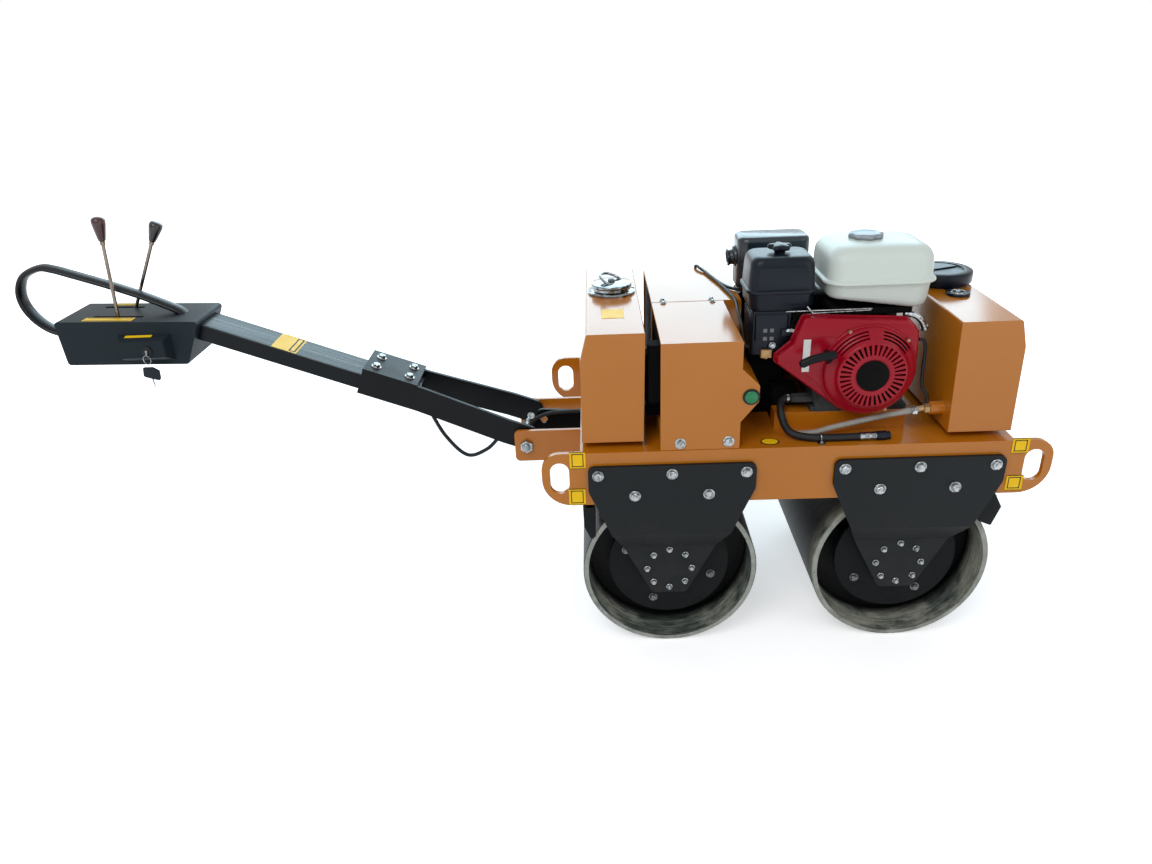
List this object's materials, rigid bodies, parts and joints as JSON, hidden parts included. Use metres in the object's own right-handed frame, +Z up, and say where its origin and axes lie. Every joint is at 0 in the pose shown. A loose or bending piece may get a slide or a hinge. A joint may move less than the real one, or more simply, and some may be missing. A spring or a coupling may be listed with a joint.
{
  "type": "walk-behind double drum roller",
  "caption": "Walk-behind double drum vibratory roller with a petrol engine, water and oil tanks and a hinged handle with a control box.",
  "frame": {"origin": "on the ground under the middle of the outer box", "axes": "+X forwards, away from the operator; +Y to the machine's left; +Z up"},
  "size_m": [2.4522, 0.6566, 1.075],
  "materials": {
    "orange": "satin",
    "black_steel": "satin",
    "black_plastic": "satin",
    "rubber": "matte",
    "drum_steel": "weathered",
    "zinc": "bright",
    "chrome": "polished",
    "casting": "as cast",
    "red": "gloss",
    "cream": "gloss",
    "clear_hose": "translucent"
  },
  "bodies": {
    "frame": {"deck": "orange", "side_frame_right": "orange", "side_frame_left": "orange", "rear_tank": "orange", "rear_tank_cap": "chrome", "front_tank": "orange", "front_tank_cap": "black_plastic", "tank_barb": "zinc", "vent_hose": "rubber", "control_cables": "rubber", "belt_guard": "black_steel", "handle_stop": "black_steel", "drain_hose": "rubber", "sight_hose": "clear_hose", "frame_cable": "rubber", "right_cover": "orange", "left_cover": "orange", "engine_block": "casting", "fan_shroud": "red", "recoil_cover": "red", "starter_grip": "black_plastic", "fuel_tank": "cream", "fuel_cap": "casting", "air_cleaner": "black_plastic", "muffler": "black_steel", "pivot_bolt_right": "zinc", "pivot_bolt_left": "zinc", "rear_scraper": "black_steel", "rear_hub_right": "black_steel", "rear_carrier_right": "black_steel", "rear_hub_left": "black_steel", "rear_carrier_left": "black_steel", "front_scraper": "black_steel", "front_hub_right": "black_steel", "front_carrier_right": "black_steel", "front_hub_left": "black_steel", "front_carrier_left": "black_steel"},
    "rear_drum": {"rear_drum": "drum_steel", "rear_drum_disc_right": "black_steel", "rear_drum_disc_left": "black_steel"},
    "front_drum": {"front_drum": "drum_steel", "front_drum_disc_right": "black_steel", "front_drum_disc_left": "black_steel"},
    "handle": {"fork": "black_steel", "handle_tube": "black_steel", "control_box": "black_steel", "loop_handle": "black_steel", "handle_cable": "rubber", "lever_right": "chrome", "lever_left": "chrome"}
  },
  "joints": [
    {"name": "rear_drum_spin", "type": "hinge", "parent": "frame", "child": "rear_drum", "pos_m": [0.36814, 0, 0.21224], "axis": [0, 1, 0], "continuous": true},
    {"name": "front_drum_spin", "type": "hinge", "parent": "frame", "child": "front_drum", "pos_m": [0.92814, 0, 0.21224], "axis": [0, 1, 0], "continuous": true},
    {"name": "handle_lift", "type": "hinge", "parent": "frame", "child": "handle", "pos_m": [0.02064, 0, 0.478], "axis": [0, 1, 0], "range_deg": [0, 65]}
  ]
}
